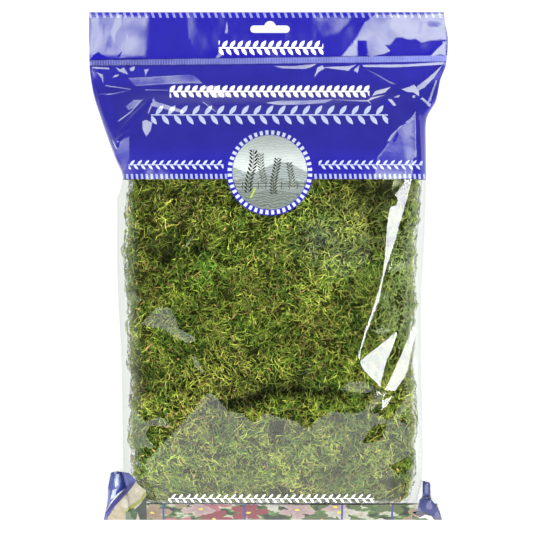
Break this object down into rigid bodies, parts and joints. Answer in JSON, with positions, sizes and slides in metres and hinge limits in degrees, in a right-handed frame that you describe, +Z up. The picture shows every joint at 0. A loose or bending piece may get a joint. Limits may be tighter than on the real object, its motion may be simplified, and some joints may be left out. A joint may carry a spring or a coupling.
{
  "type": "bagged moss clump",
  "caption": "Clump of preserved green sheet moss folded in a clear printed pillow bag with a header and hanging slot, lying on its back",
  "frame": {"origin": "middle of the bounding box's bottom face, on the surface that the bag lies on", "axes": "+Z up through the front film, +Y along the bag towards the header, +X across the bag to the right as seen from the front"},
  "size_m": [0.2891, 0.4093, 0.0663],
  "materials": {
    "printed_film": "clear glossy film with blue, white and flowered ink",
    "back_film": "clear glossy film with a blue band",
    "moss": "matte, fibrous, dyed and preserved plant strands"
  },
  "bodies": {
    "root": {"bag_front_film": "printed_film", "bag_back_film": "back_film", "moss_sheet_back": "moss", "moss_sheet_middle": "moss", "moss_sheet_front_upper": "moss", "moss_sheet_front_lower": "moss"}
  },
  "joints": []
}
